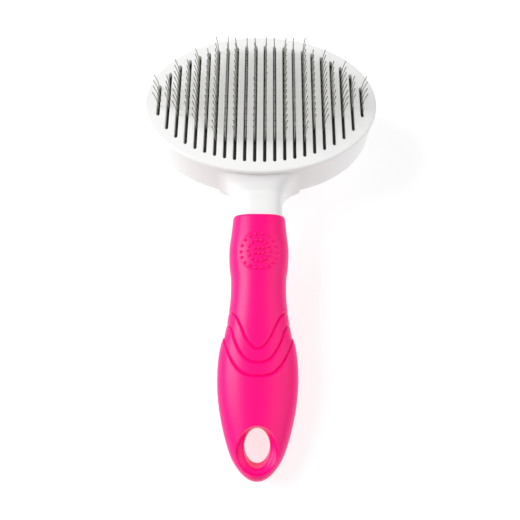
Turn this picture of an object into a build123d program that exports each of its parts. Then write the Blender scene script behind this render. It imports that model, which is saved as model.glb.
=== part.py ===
"""Self-cleaning slicker brush, lying on its back with the pins up.

Frame: +X across the brush, +Y from the handle to the head, +Z out of the pins.
The origin is under the middle of the brush, on the surface that it lies on.
A push button on the back lifts the slotted face plate along +Z over the pins.
"""

import os
from math import atan, ceil, cos, degrees, floor, radians, sin, sqrt, tan

from build123d import *

# ---------------------------------------------------------------- overall sizes
LENGTH = 200.0  # tip of the grip to the top of the head
FACE_HALF_X = 53.0  # half width of the oval face plate
FACE_HALF_Y = 37.7  # half height of the oval face plate
TRAVEL = 10.5  # how far the button lifts the face plate
BUTTON_LEFT = 1.0  # of the button, still proud of the back when it is pushed home

HEAD_Y = LENGTH / 2 - FACE_HALF_Y
HEAD_LOW_Y = HEAD_Y - FACE_HALF_Y  # lower edge of the head
BACK_Z = TRAVEL + BUTTON_LEFT  # flat back of the head shell

# ---------------------------------------------------------------- running clearances
SLIDE_GAP = 0.3  # between the face plate's skirt and the housing wall
BUTTON_GAP = 0.4  # between the button and its opening
REVEAL = 0.25  # under the face plate's lip, and under the button's flange
LEG_GAP = 0.4  # round each leg where it passes the pin carrier
STOP_GAP = 0.8  # between the pusher frame and the backing plate, pushed home
PLATE_GAP = 0.7  # between the face plate and the pin carrier, at rest
FLANGE_ROOM = 3.3  # from the head's floor to the pusher frame, for the flange
BOSS_GAP = 0.4  # between the moving flange and a fixed post

# ---------------------------------------------------------------- head shell
LIP_OVERHANG = 0.35  # the plate's lip stands this far outside the housing rim
RIM_WALL = 2.2
DRAFT = 0.7  # the shell is this much smaller at its back than at its rim
BACK_RADIUS = 7.0
BACK_WALL = 2.2
SPLIT_HEIGHT = 5.5  # from the back to the joint between the two housings

LIP_THICKNESS = 1.75
PLATE_THICKNESS = 3.0
PLATE_EDGE_RADIUS = 1.1
FRAME_THICKNESS = 2.0
BACKING_THICKNESS = 1.5
CARRIER_THICKNESS = 2.5

# the depth is stacked up from the back: frame, travel, backing, carrier, face plate
FLOOR_Z = BACK_Z + BACK_WALL
SPLIT_Z = BACK_Z + SPLIT_HEIGHT
FRAME_Z = FLOOR_Z + FLANGE_ROOM
BACKING_Z = FRAME_Z + FRAME_THICKNESS + TRAVEL + STOP_GAP
CARRIER_Z = BACKING_Z + BACKING_THICKNESS
CARRIER_TOP = CARRIER_Z + CARRIER_THICKNESS
FACE_Z = CARRIER_TOP + PLATE_GAP + PLATE_THICKNESS  # front surface of the brush, at rest
RIM_Z = FACE_Z - LIP_THICKNESS - REVEAL
RIM_HALF_X = FACE_HALF_X - LIP_OVERHANG
RIM_HALF_Y = FACE_HALF_Y - LIP_OVERHANG
CAVITY_HALF_X = RIM_HALF_X - RIM_WALL
CAVITY_HALF_Y = RIM_HALF_Y - RIM_WALL

# ---------------------------------------------------------------- face plate
SLOT_COUNT = 22
SLOT_PITCH = 4.4
SLOT_WIDTH = 1.5
SLOT_EDGE = 0.2
SLOT_MARGIN = 5.2  # from the plate's edge to the oval that the slots end on
SKIRT_WALL = 1.2
SKIRT_DEPTH = 15.0
SKIRT_Z = FACE_Z - SKIRT_DEPTH
SKIRT_HALF_X = CAVITY_HALF_X - SLIDE_GAP
SKIRT_HALF_Y = CAVITY_HALF_Y - SLIDE_GAP
LEG_THICKNESS = 2.0
LEG_SIDE_WIDTH = 6.0
LEG_END_WIDTH = 2.6
LEG_FOOT = 1.0  # under the pusher frame
LEG_NOTCH = 1.0  # how deep the frame's arms snap into the legs

# ---------------------------------------------------------------- pins
WIRE_RADIUS = 0.22
ROW_PITCH = 3.23
ROW_GROUP = 4  # the staples of a column come in groups of this many
FIELD_SHIFT = 3.5  # the pin field sits this far towards the head's top
OUTER_SHIFT = 1.5  # the same for the two outermost, shortest pairs
PIN_STRAIGHT = 5.5  # from the face plate up to the knee
PIN_BENT = 8.5  # from the knee to the tip
KNEE_DEGREES = 21.0
SPLAY_DEGREES = 1.8
KNEE_RADIUS = 1.5
CROWN_RADIUS = 0.5
PIN_HOLE_RADIUS = 0.32

TROUGH_SIDE_GAP = 0.3  # round a staple's crown, in the backing's trough
TROUGH_DEPTH = 2 * WIRE_RADIUS + 0.05

# ---------------------------------------------------------------- push button and frame
BUTTON_HALF_X = 26.0
BUTTON_HALF_Y = 19.0
BUTTON_WALL = 2.0
BUTTON_FLOOR = 2.2
BUTTON_EDGE_RADIUS = 4.0
FLANGE_WIDTH = 1.5
FLANGE_THICKNESS = 1.5
ARM_WIDTH = 7.0
ARM_TIP_GAP = 0.1

# ---------------------------------------------------------------- return springs
SPRING_X = 16.0
SPRING_RADIUS = 4.0  # to the middle of the wire
SPRING_WIRE = 0.45  # wire radius
SPRING_TURNS = 8.0
SPRING_HOLE_GAP = 0.8
SEAT_WALL = 1.2
SEAT_HEIGHT = 2.0
SPRING_END_GAP = 0.05

# ---------------------------------------------------------------- screws and bosses
SCREW_RADIUS = 1.2
SCREW_PILOT_GAP = 0.05
SCREW_PASS_GAP = 0.25
HEAD_RADIUS = 1.8
HEAD_THICKNESS = 1.2
HEAD_GAP = 0.2
DRIVE_RADIUS = 1.0
DRIVE_WIDTH = 0.5
DRIVE_DEPTH = 0.7
BOSS_RADIUS = 3.2
SCREW_LENGTH = 8.0
BOSS_Y = 11.0
COVER_BOSS_X = 27.0
COVER_BOSS_Y = 24.3
EAR_THICKNESS = 5.0
COVER_SCREW_SINK = 1.4
FRAME_SCREW_Y = 11.5

# ---------------------------------------------------------------- neck and grip
NECK_LENGTH = 15.6  # from the head's lower edge to the grip
GRIP_TOP_Y = HEAD_LOW_Y - NECK_LENGTH
GRIP_WALL = 2.5
CORE_WALL = 2.0
CORE_TIP_SKIN = 1.6
CORE_ROOT = 3.0  # how far the core runs up inside the neck
EYE_LENGTH = 23.0  # the core is solid this far from the tip, round the hang hole
NECK_HALF_X = 10.35
NECK_FLARE = 6.5
NECK_FLARE_START = 5.1  # below the head's lower edge
NECK_CORNER = 7.3
SPLIT_EASE = 8.0  # the split line rises from the head to the neck's middle over this

# share of the way from the grip's top to its rounded end, half width, front z, back z
BARREL_SECTIONS = (
    (0.0, 11.5, 30.9, 13.0),
    (0.083, 12.2, 30.6, 11.5),
    (0.177, 13.1, 30.1, 10.4),
    (0.270, 12.8, 29.4, 9.6),
    (0.375, 11.8, 28.5, 8.8),
    (0.491, 12.1, 27.3, 7.8),
    (0.686, 14.7, 25.1, 5.2),
    (0.840, 17.0, 23.1, 2.7),
)
# distance from the tip, half width, front z, back z
END_SECTIONS = (
    (31.6, 16.4, 21.0, 0.6),
    (22.0, 14.6, 19.3, 0.0),
    (12.2, 11.8, 17.4, 0.4),
    (6.0, 8.9, 15.9, 1.7),
    (2.5, 5.8, 14.1, 3.6),
    (0.7, 3.0, 12.0, 5.8),
    (0.0, 0.9, 9.8, 8.0),
)
# distance below the head's lower edge, front z, back z of the bare neck
NECK_SECTIONS = (
    (NECK_LENGTH, 30.0, 13.8),
    (9.6, 30.5, 13.2),
    (NECK_FLARE_START, 31.2, 12.8),
    (2.1, 32.1, 12.5),
    (-0.1, 33.0, 12.3),
    (-1.4, 33.7, 12.2),
)
NECK_ROOT = 4.0  # straight end of the neck, inside the head wall

# ---------------------------------------------------------------- hang hole
HOLE_FROM_TIP = 13.7
HOLE_HALF_X = 5.1
HOLE_HALF_Y = 7.4
HOLE_LINING = 1.2
MOUTH_FLARE_X = 2.8
MOUTH_FLARE_Y = 1.5
MOUTH_SHIFT = 1.0  # the mouth is this much nearer to the tip
MOUTH_DEPTH = 3.2
MOUTH_OVER = 0.3  # the mouth's cutter stands this far out of the grip
HOLE_REACH = 14.0  # half length of the cutting prism


def oval(half_x, half_y, bottom, top):
    """Upright elliptical prism on the head's axis."""
    face = Pos(0, HEAD_Y, bottom) * Ellipse(half_x, half_y)
    return extrude(face, top - bottom, dir=(0, 0, 1))


def head_box(x, y, size_x, size_y, bottom, top):
    """Box centred on x, y from the head's axis."""
    centre = Pos(x, HEAD_Y + y, (bottom + top) / 2)
    return centre * Box(size_x, size_y, top - bottom)


def post(x, y, radius, bottom, top):
    """Upright round post at x, y from the head's axis."""
    return Pos(x, HEAD_Y + y, (bottom + top) / 2) * Cylinder(radius, top - bottom)


def corners(x, y):
    """The four places at plus and minus x, y."""
    return [(sx * x, sy * y) for sx in (-1, 1) for sy in (-1, 1)]


def column_x(index):
    return (index - (SLOT_COUNT - 1) / 2) * SLOT_PITCH


def slot_half_length(x):
    """Half length of the slot at x, where the slots end on an oval."""
    share = x / (FACE_HALF_X - SLOT_MARGIN)
    return (FACE_HALF_Y - SLOT_MARGIN) * sqrt(1 - share * share)


def row_places(pair):
    """The y of each staple of a pair of columns, from the head's axis."""
    outermost = pair in (0, SLOT_COUNT // 2 - 1)
    shift = OUTER_SHIFT if outermost else FIELD_SHIFT
    outer_x = max(abs(column_x(2 * pair)), abs(column_x(2 * pair + 1)))
    room = 2 * (slot_half_length(outer_x) - shift)
    rows = ROW_GROUP * floor(room / ROW_PITCH / ROW_GROUP)
    return [shift + (row - (rows - 1) / 2) * ROW_PITCH for row in range(rows)]


def pair_x(pair):
    return (column_x(2 * pair) + column_x(2 * pair + 1)) / 2


def boss_places():
    """The carrier's posts: outside the flange, and midway between two pairs of columns."""
    flange_x = BUTTON_HALF_X + FLANGE_WIDTH
    flange_y = BUTTON_HALF_Y + FLANGE_WIDTH
    edge = flange_x * sqrt(1 - (BOSS_Y / flange_y) ** 2)
    pitches = (edge + BOSS_GAP + BOSS_RADIUS) / SLOT_PITCH
    odd = 2 * ceil((pitches - 1) / 2) + 1
    return corners(odd * SLOT_PITCH, BOSS_Y)


# ---------------------------------------------------------------- screws
def screw(length):
    """Pan-head screw, its head's underside at z = 0 and its shank below."""
    shank = Pos(0, 0, -length / 2) * Cylinder(SCREW_RADIUS, length)
    shank = chamfer(shank.faces().sort_by(Axis.Z)[0].edges(), SCREW_RADIUS / 2)
    head = Pos(0, 0, HEAD_THICKNESS / 2) * Cylinder(HEAD_RADIUS, HEAD_THICKNESS)
    head = fillet(head.faces().sort_by(Axis.Z)[-1].edges(), HEAD_THICKNESS / 3)
    drive_z = HEAD_THICKNESS - DRIVE_DEPTH / 2
    drive = Pos(0, 0, drive_z) * Box(2 * DRIVE_RADIUS, DRIVE_WIDTH, DRIVE_DEPTH)
    return head + shank - drive - Rot(0, 0, 90) * drive


def pilot(x, y, bottom, top):
    """Screw hole that the thread bites: it is a close fit on the shank."""
    return post(x, y, SCREW_RADIUS + SCREW_PILOT_GAP, bottom, top)


def passage(x, y, bottom, top):
    return post(x, y, SCREW_RADIUS + SCREW_PASS_GAP, bottom, top)


# ---------------------------------------------------------------- head shell
def rounded_oval(half_x, half_y, bottom, top, draft, radius):
    """Oval block, narrower at the bottom by the draft, with its bottom edge rounded."""
    low = Pos(0, HEAD_Y, bottom) * Ellipse(half_x - draft, half_y - draft)
    high = Pos(0, HEAD_Y, top) * Ellipse(half_x, half_y)
    block = loft([low, high], ruled=True)
    return fillet(block.faces().sort_by(Axis.Z)[0].edges(), radius)


def head_block():
    return rounded_oval(RIM_HALF_X, RIM_HALF_Y, BACK_Z, RIM_Z, DRAFT, BACK_RADIUS)


def head_cavity():
    radius = BACK_RADIUS - BACK_WALL
    return rounded_oval(CAVITY_HALF_X, CAVITY_HALF_Y, FLOOR_Z, RIM_Z + 1, 0, radius)


# ---------------------------------------------------------------- neck and core
def section(y, half_x, front, back):
    """Elliptical cross section of the handle at y."""
    plane = Plane(origin=(0, y, (front + back) / 2), x_dir=(1, 0, 0), z_dir=(0, -1, 0))
    return plane * Ellipse(half_x, (front - back) / 2)


def neck_half_width(below):
    """Straight neck that flares into the head on an arc."""
    over = min(max(0.0, NECK_FLARE_START - below), NECK_FLARE)
    return NECK_HALF_X + NECK_FLARE - sqrt(NECK_FLARE**2 - over**2)


def neck_section(below, front, back):
    middle = (0, HEAD_LOW_Y - below, (front + back) / 2)
    plane = Plane(origin=middle, x_dir=(1, 0, 0), z_dir=(0, -1, 0))
    return plane * RectangleRounded(2 * neck_half_width(below), front - back, NECK_CORNER)


def head_and_neck():
    """Head block, the lofted neck, and the neck's straight root inside the head."""
    sections = [neck_section(*row) for row in NECK_SECTIONS]
    root = extrude(sections[-1], NECK_ROOT, dir=(0, 1, 0))
    return head_block() + loft(sections) + root


def grip_sections():
    """y, half width, front z and back z down the grip. Its rounded end keeps its shape."""
    end = [(distance - LENGTH / 2, *sizes) for distance, *sizes in END_SECTIONS]
    barrel_length = GRIP_TOP_Y - end[0][0]
    barrel = [(GRIP_TOP_Y - share * barrel_length, *sizes) for share, *sizes in BARREL_SECTIONS]
    return barrel + end


def grip_block():
    return loft([section(*row) for row in grip_sections()])


def core_sections(skin):
    """The grip's sections drawn in by the skin, and closed short of the tip."""
    rows = []
    for y, half_x, front, back in grip_sections():
        if half_x > 2 * skin:
            rows.append([y, half_x - skin, front - skin, back + skin])
    rows[0][0] = GRIP_TOP_Y + CORE_ROOT
    return rows


def core_block():
    """Stiff core of the handle, as far as the skin at the tip."""
    rows = core_sections(GRIP_WALL)
    end_y = -LENGTH / 2 + CORE_TIP_SKIN
    last = rows[-1]
    middle = (last[2] + last[3]) / 2
    rows.append([end_y, last[1] / 2, middle + last[1] / 3, middle - last[1] / 3])
    return loft([section(*row) for row in rows])


def core_hollow():
    """Space inside the core, from the neck to the solid eye."""
    rows = core_sections(GRIP_WALL + CORE_WALL)
    space = loft([section(*row) for row in rows])
    eye = Pos(0, EYE_LENGTH - LENGTH, 0) * Box(LENGTH, LENGTH, LENGTH)
    return space - eye


def hole_prism(grow):
    """Cutting prism of the hang hole, square to the handle's slope."""
    place, _ = hole_place()
    face = Ellipse(HOLE_HALF_X + grow, HOLE_HALF_Y + grow)
    return place * extrude(face, HOLE_REACH, both=True)


def hole_place():
    """Placement of the hang hole's middle, and half the handle's thickness there."""
    y = HOLE_FROM_TIP - LENGTH / 2
    rows = grip_sections()
    before = [row for row in rows if row[0] >= y][-1]
    after = [row for row in rows if row[0] < y][0]
    share = (before[0] - y) / (before[0] - after[0])
    front = before[2] + share * (after[2] - before[2])
    back = before[3] + share * (after[3] - before[3])
    slope = (middle_z(before) - middle_z(after)) / (before[0] - after[0])
    tilt = Rot(degrees(atan(slope)), 0, 0)
    return Pos(0, y, (front + back) / 2) * tilt, (front - back) / 2


def hole_mouth(place, half):
    """Flared mouth at the hang hole's +Z end."""
    inner = Pos(0, 0, half - MOUTH_DEPTH) * Ellipse(HOLE_HALF_X, HOLE_HALF_Y)
    wide_x = HOLE_HALF_X + MOUTH_FLARE_X
    wide_y = HOLE_HALF_Y + MOUTH_FLARE_Y
    outer = Pos(0, -MOUTH_SHIFT, half + MOUTH_OVER) * Ellipse(wide_x, wide_y)
    return place * loft([inner, outer], ruled=True)


def hole_mouths():
    place, half = hole_place()
    return hole_mouth(place, half) + hole_mouth(place * Rot(0, 180, 0), half)


def shell_block():
    """Head, neck and core in one, before it is split and hollowed."""
    return head_and_neck() + core_block() - hole_prism(HOLE_LINING)


def front_half(width):
    """Prism of all that lies in front of the split between the two mouldings."""
    rows = grip_sections()
    top, narrow, end, tip = rows[0], rows[3], rows[len(BARREL_SECTIONS)], rows[-1]
    flare_y = HEAD_LOW_Y - NECK_FLARE_START
    line = [
        (LENGTH, SPLIT_Z),
        (flare_y, SPLIT_Z),
        (flare_y - SPLIT_EASE, middle_z(top)),
        (narrow[0], middle_z(narrow)),
        (end[0], middle_z(end)),
        (-LENGTH, middle_z(tip)),
        (-LENGTH, LENGTH),
        (LENGTH, LENGTH),
    ]
    outline = Plane.YZ * make_face(Polyline(*line, close=True))
    return extrude(outline, width, both=True)


def middle_z(row):
    return (row[2] + row[3]) / 2


def hollowed(body):
    """The body with the head's cavity and the core's hollow cut out."""
    return body - head_cavity() - (core_hollow() - head_block())


def ear(x, y):
    """Boss under the front housing's wall, which a cover screw bites into."""
    top = SPLIT_Z + EAR_THICKNESS
    outward = 1 if y > 0 else -1
    web_y = y + outward * BOSS_RADIUS
    web = head_box(x, web_y, 2 * BOSS_RADIUS, 4 * BOSS_RADIUS, SPLIT_Z, top)
    inside = oval(CAVITY_HALF_X + RIM_WALL / 4, CAVITY_HALF_Y + RIM_WALL / 4, SPLIT_Z, top)
    return (post(x, y, BOSS_RADIUS, SPLIT_Z, top) + web) & inside


def front_housing():
    body = hollowed(shell_block() & front_half(LENGTH))
    for x, y in corners(COVER_BOSS_X, COVER_BOSS_Y):
        body += ear(x, y)
        body -= pilot(x, y, SPLIT_Z, SPLIT_Z + EAR_THICKNESS)
    return body


def cover_screw_z():
    """Underside of a cover screw's head, sunk in the rear cover."""
    return BACK_Z + COVER_SCREW_SINK + HEAD_THICKNESS


def rear_cover():
    body = hollowed(shell_block() - front_half(LENGTH))
    for x, y in boss_places():
        body += post(x, y, BOSS_RADIUS, FLOOR_Z, BACKING_Z)
        body -= pilot(x, y, BACKING_Z - SCREW_LENGTH, BACKING_Z)
    for x, y in corners(COVER_BOSS_X, COVER_BOSS_Y):
        body += post(x, y, BOSS_RADIUS, FLOOR_Z, SPLIT_Z)
        body -= passage(x, y, BACK_Z, SPLIT_Z)
        body -= post(x, y, HEAD_RADIUS + HEAD_GAP, 0, cover_screw_z())
    hole_x = BUTTON_HALF_X + BUTTON_GAP
    hole_y = BUTTON_HALF_Y + BUTTON_GAP
    return body - oval(hole_x, hole_y, BACK_Z - 1, FLOOR_Z + 1)


def cover_screws():
    turned = Rot(180, 0, 0) * screw(SCREW_LENGTH)
    z = cover_screw_z()
    return [Pos(x, HEAD_Y + y, z) * turned for x, y in corners(COVER_BOSS_X, COVER_BOSS_Y)]


# ---------------------------------------------------------------- face plate
def slots(bottom, top):
    """All the slots of the face plate, as one cutting body."""
    faces = []
    for index in range(SLOT_COUNT):
        x = column_x(index)
        outline = SlotOverall(2 * slot_half_length(x), SLOT_WIDTH, rotation=90)
        faces.append(Pos(x, HEAD_Y, bottom) * outline)
    return [extrude(face, top - bottom, dir=(0, 0, 1)) for face in faces]


def leg_places():
    """x, y of each leg's middle, its size in X and Y, and the way to the oval's middle."""
    side = SKIRT_HALF_X - SKIRT_WALL - LEG_THICKNESS / 2
    end = SKIRT_HALF_Y - SKIRT_WALL - LEG_THICKNESS / 2
    return [
        (side, 0, LEG_THICKNESS, LEG_SIDE_WIDTH, (-1, 0)),
        (-side, 0, LEG_THICKNESS, LEG_SIDE_WIDTH, (1, 0)),
        (0, end, LEG_END_WIDTH, LEG_THICKNESS, (0, -1)),
        (0, -end, LEG_END_WIDTH, LEG_THICKNESS, (0, 1)),
    ]


def face_plate():
    lip_z = FACE_Z - LIP_THICKNESS
    underside = FACE_Z - PLATE_THICKNESS
    lip = oval(FACE_HALF_X, FACE_HALF_Y, lip_z, FACE_Z)
    lip = fillet(lip.faces().sort_by(Axis.Z)[-1].edges(), PLATE_EDGE_RADIUS)
    skirt = oval(SKIRT_HALF_X, SKIRT_HALF_Y, SKIRT_Z, lip_z)
    inner_x = SKIRT_HALF_X - SKIRT_WALL
    inner_y = SKIRT_HALF_Y - SKIRT_WALL
    body = lip + skirt - oval(inner_x, inner_y, SKIRT_Z, underside)
    for x, y, size_x, size_y, inward in leg_places():
        body += head_box(x, y, size_x, size_y, FRAME_Z - LEG_FOOT, underside)
        reach = LEG_THICKNESS - LEG_NOTCH
        notch_x = x + inward[0] * reach
        notch_y = y + inward[1] * reach
        frame_top = FRAME_Z + FRAME_THICKNESS
        body -= head_box(notch_x, notch_y, size_x, size_y, FRAME_Z, frame_top)
    for slot in slots(underside - 1, FACE_Z + 1):
        body -= slot
    rims = body.faces().filter_by(Axis.Z).sort_by(Axis.Z)[-1].inner_wires()
    return chamfer([edge for rim in rims for edge in rim.edges()], SLOT_EDGE)


# ---------------------------------------------------------------- pins
def leg_reach(z):
    """Half the gap between a staple's splayed legs at z: they cross the plate mid-slot."""
    above = z - (FACE_Z - PLATE_THICKNESS / 2)
    return SLOT_PITCH / 2 + above * tan(radians(SPLAY_DEGREES))


def staple():
    """One bent wire staple, its crown along X just under the pin carrier."""
    crown_z = CARRIER_Z - WIRE_RADIUS
    knee_z = FACE_Z + PIN_STRAIGHT
    tip_z = knee_z + PIN_BENT * cos(radians(KNEE_DEGREES))
    tip_y = -PIN_BENT * sin(radians(KNEE_DEGREES))
    crown = (leg_reach(crown_z), 0, crown_z)
    knee = (leg_reach(knee_z), 0, knee_z)
    tip = (leg_reach(tip_z), tip_y, tip_z)
    right = [crown, knee, tip]
    left = [(-x, y, z) for x, y, z in reversed(right)]
    radii = [KNEE_RADIUS, CROWN_RADIUS, CROWN_RADIUS, KNEE_RADIUS]
    path = FilletPolyline(*left, *right, radius=radii)
    return sweep(Plane(origin=path @ 0, z_dir=path % 0) * Circle(WIRE_RADIUS), path)


def pin_staples(pair):
    """All the staples that stand in one pair of slots."""
    one = staple()
    return [Pos(pair_x(pair), HEAD_Y + y, 0) * one for y in row_places(pair)]


def carrier_oval(bottom, top):
    """Oval that clears the face plate's skirt and its legs."""
    half_x = SKIRT_HALF_X - SKIRT_WALL - SLIDE_GAP
    half_y = SKIRT_HALF_Y - SKIRT_WALL - SLIDE_GAP
    body = oval(half_x, half_y, bottom, top)
    for x, y, size_x, size_y, _ in leg_places():
        body -= head_box(x, y, size_x + 2 * LEG_GAP, size_y + 2 * LEG_GAP, bottom, top)
    return body


def pin_carrier():
    body = carrier_oval(CARRIER_Z, CARRIER_TOP)
    holes = []
    reach = leg_reach((CARRIER_Z + CARRIER_TOP) / 2)
    for pair in range(SLOT_COUNT // 2):
        for y in row_places(pair):
            for x in (pair_x(pair) - reach, pair_x(pair) + reach):
                holes.append(post(x, y, PIN_HOLE_RADIUS, CARRIER_Z, CARRIER_TOP))
    for x, y in boss_places():
        holes.append(passage(x, y, CARRIER_Z, CARRIER_TOP))
        head_z = CARRIER_TOP - HEAD_THICKNESS
        holes.append(post(x, y, HEAD_RADIUS + HEAD_GAP / 2, head_z, CARRIER_TOP))
    return body - holes


def pin_backing():
    body = carrier_oval(BACKING_Z, CARRIER_Z)
    for pair in range(SLOT_COUNT // 2):
        rows = row_places(pair)
        middle = (rows[0] + rows[-1]) / 2
        length = rows[-1] - rows[0] + ROW_PITCH
        width = 2 * (leg_reach(CARRIER_Z) + WIRE_RADIUS + TROUGH_SIDE_GAP)
        trough_z = CARRIER_Z - TROUGH_DEPTH
        body -= head_box(pair_x(pair), middle, width, length, trough_z, CARRIER_Z)
    for x, y in boss_places():
        body -= passage(x, y, BACKING_Z, CARRIER_Z)
    return body


def carrier_screws():
    """Screws that clamp the carrier and its backing on the rear cover's posts."""
    one = screw(SCREW_LENGTH)
    z = CARRIER_TOP - HEAD_THICKNESS
    return [Pos(x, HEAD_Y + y, z) * one for x, y in boss_places()]


# ---------------------------------------------------------------- push button and frame
def spring_places():
    return [(-SPRING_X, 0), (SPRING_X, 0)]


def push_button():
    cup = oval(BUTTON_HALF_X, BUTTON_HALF_Y, 0, FRAME_Z)
    cup = fillet(cup.faces().sort_by(Axis.Z)[0].edges(), BUTTON_EDGE_RADIUS)
    flange_x = BUTTON_HALF_X + FLANGE_WIDTH
    flange_y = BUTTON_HALF_Y + FLANGE_WIDTH
    flange_z = FLOOR_Z + REVEAL
    cup += oval(flange_x, flange_y, flange_z, flange_z + FLANGE_THICKNESS)
    inner_x = BUTTON_HALF_X - BUTTON_WALL
    inner_y = BUTTON_HALF_Y - BUTTON_WALL
    inside = oval(inner_x, inner_y, BUTTON_FLOOR, FRAME_Z)
    cup -= fillet(inside.faces().sort_by(Axis.Z)[0].edges(), BUTTON_EDGE_RADIUS - BUTTON_WALL)
    seat_radius = SPRING_RADIUS + SPRING_WIRE + SPRING_HOLE_GAP / 2
    for x, y in spring_places():
        seat_top = BUTTON_FLOOR + SEAT_HEIGHT
        cup += post(x, y, seat_radius + SEAT_WALL, BUTTON_FLOOR / 2, seat_top)
        cup -= post(x, y, seat_radius, BUTTON_FLOOR, seat_top)
    for y in (-FRAME_SCREW_Y, FRAME_SCREW_Y):
        cup += post(0, y, BOSS_RADIUS, BUTTON_FLOOR / 2, FRAME_Z)
        cup -= pilot(0, y, FRAME_Z - SCREW_LENGTH, FRAME_Z)
    return cup


def pusher_frame():
    top = FRAME_Z + FRAME_THICKNESS
    body = oval(BUTTON_HALF_X + FLANGE_WIDTH, BUTTON_HALF_Y + FLANGE_WIDTH, FRAME_Z, top)
    for x, y, size_x, size_y, inward in leg_places():
        tip = LEG_NOTCH - ARM_TIP_GAP - LEG_THICKNESS / 2
        reach = abs(x) + abs(y) + tip
        if inward[0]:
            body += head_box(x / abs(x) * reach / 2, 0, reach, ARM_WIDTH, FRAME_Z, top)
        else:
            body += head_box(0, y / abs(y) * reach / 2, ARM_WIDTH, reach, FRAME_Z, top)
    for x, y in spring_places():
        body -= post(x, y, SPRING_RADIUS + SPRING_WIRE + SPRING_HOLE_GAP, FRAME_Z, top)
    for y in (-FRAME_SCREW_Y, FRAME_SCREW_Y):
        body -= passage(0, y, FRAME_Z, top)
        body -= post(0, y, HEAD_RADIUS + HEAD_GAP, top - HEAD_THICKNESS, top)
    return body


def frame_screws():
    """Screws that fix the frame to the button, their heads sunk flush in the frame."""
    one = screw(SCREW_LENGTH)
    z = FRAME_Z + FRAME_THICKNESS - HEAD_THICKNESS
    return [Pos(0, HEAD_Y + y, z) * one for y in (-FRAME_SCREW_Y, FRAME_SCREW_Y)]


def return_spring(x):
    """Open coil spring between the button's floor and the backing plate."""
    low = BUTTON_FLOOR + SPRING_WIRE + SPRING_END_GAP
    high = BACKING_Z - SPRING_WIRE - SPRING_END_GAP
    path = Helix((high - low) / SPRING_TURNS, high - low, SPRING_RADIUS)
    wire = sweep(Plane(origin=path @ 0, z_dir=path % 0) * Circle(SPRING_WIRE), path, is_frenet=True)
    return Pos(x, HEAD_Y, low) * wire


# ---------------------------------------------------------------- grip
def grip_sleeve():
    """Soft sleeve moulded over the core, which it also lines through the hang hole."""
    body = grip_block() - core_block()
    lining = hole_prism(HOLE_LINING) & grip_block()
    return body + lining - hole_prism(0) - hole_mouths()


# ---------------------------------------------------------------- write the parts
def write(shape, node):
    solids = shape if isinstance(shape, list) else [shape]
    children = [solid for item in solids for solid in item.solids()]
    whole = children[0] if len(children) == 1 else Compound(children=children)
    export_step(whole, f"parts/{node}.step")


def build():
    os.makedirs("parts", exist_ok=True)
    write(front_housing(), "front_housing")
    write(rear_cover(), "rear_cover")
    write(cover_screws(), "cover_screws")
    write(face_plate(), "face_plate")
    write(pin_carrier(), "pin_carrier")
    write(pin_backing(), "pin_backing")
    write(carrier_screws(), "carrier_screws")
    for pair in range(SLOT_COUNT // 2):
        write(pin_staples(pair), f"pin_staples_{pair + 1:02d}")
    write(push_button(), "push_button")
    write(pusher_frame(), "pusher_frame")
    write(frame_screws(), "frame_screws")
    write(return_spring(-SPRING_X), "return_spring_left")
    write(return_spring(SPRING_X), "return_spring_right")
    write(grip_sleeve(), "grip_sleeve")


build()
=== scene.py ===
import math

import bmesh
import bpy
from mathutils import Matrix, Vector


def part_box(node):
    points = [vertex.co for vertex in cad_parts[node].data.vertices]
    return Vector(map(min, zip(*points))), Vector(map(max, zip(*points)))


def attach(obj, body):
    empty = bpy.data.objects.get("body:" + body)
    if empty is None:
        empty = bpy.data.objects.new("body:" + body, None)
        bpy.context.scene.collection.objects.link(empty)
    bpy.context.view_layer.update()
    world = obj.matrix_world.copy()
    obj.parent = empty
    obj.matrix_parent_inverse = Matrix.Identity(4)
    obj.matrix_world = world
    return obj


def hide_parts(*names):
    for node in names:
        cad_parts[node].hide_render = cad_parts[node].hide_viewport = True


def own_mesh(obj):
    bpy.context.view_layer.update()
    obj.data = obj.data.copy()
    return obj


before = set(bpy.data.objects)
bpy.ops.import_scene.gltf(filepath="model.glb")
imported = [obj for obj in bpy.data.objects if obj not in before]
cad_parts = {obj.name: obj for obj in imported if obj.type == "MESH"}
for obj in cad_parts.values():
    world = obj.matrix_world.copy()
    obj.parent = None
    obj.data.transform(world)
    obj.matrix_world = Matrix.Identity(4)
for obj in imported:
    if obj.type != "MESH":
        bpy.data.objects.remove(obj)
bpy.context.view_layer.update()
MM = 0.001

# ------------------------------------------------------------------ studio
# A pale table, a soft light on the left and a larger, weaker one on the right.
# The camera looks down on the pins from the handle's side.
AIM = Vector((0.5, -13.3, 29.5)) * MM
CAMERA_DISTANCE = 0.269
CAMERA_ELEVATION = math.radians(66.0)
CAMERA_ROLL = math.radians(0.5)
CAMERA_LENS = 44.3

toward = Vector((0, math.cos(CAMERA_ELEVATION), -math.sin(CAMERA_ELEVATION)))
camera_data = bpy.data.cameras.new("camera")
camera_data.lens = CAMERA_LENS
camera_data.sensor_width = 36.0
camera_data.clip_start = 0.01
camera = bpy.data.objects.new("camera", camera_data)
turn = toward.to_track_quat("-Z", "Y").to_matrix() @ Matrix.Rotation(CAMERA_ROLL, 3, "Z")
camera.matrix_world = Matrix.Translation(AIM - CAMERA_DISTANCE * toward) @ turn.to_4x4()
bpy.context.scene.collection.objects.link(camera)
bpy.context.scene.camera = camera
bpy.context.scene.view_settings.view_transform = "Standard"


def soft_light(name, place, size, power):
    """Square area light at a place, turned to face the brush."""
    data = bpy.data.lights.new(name, "AREA")
    data.size = size
    data.energy = power
    light = bpy.data.objects.new(name, data)
    light.location = place
    light.rotation_euler = (AIM - Vector(place)).to_track_quat("-Z", "Y").to_euler()
    bpy.context.scene.collection.objects.link(light)


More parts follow.
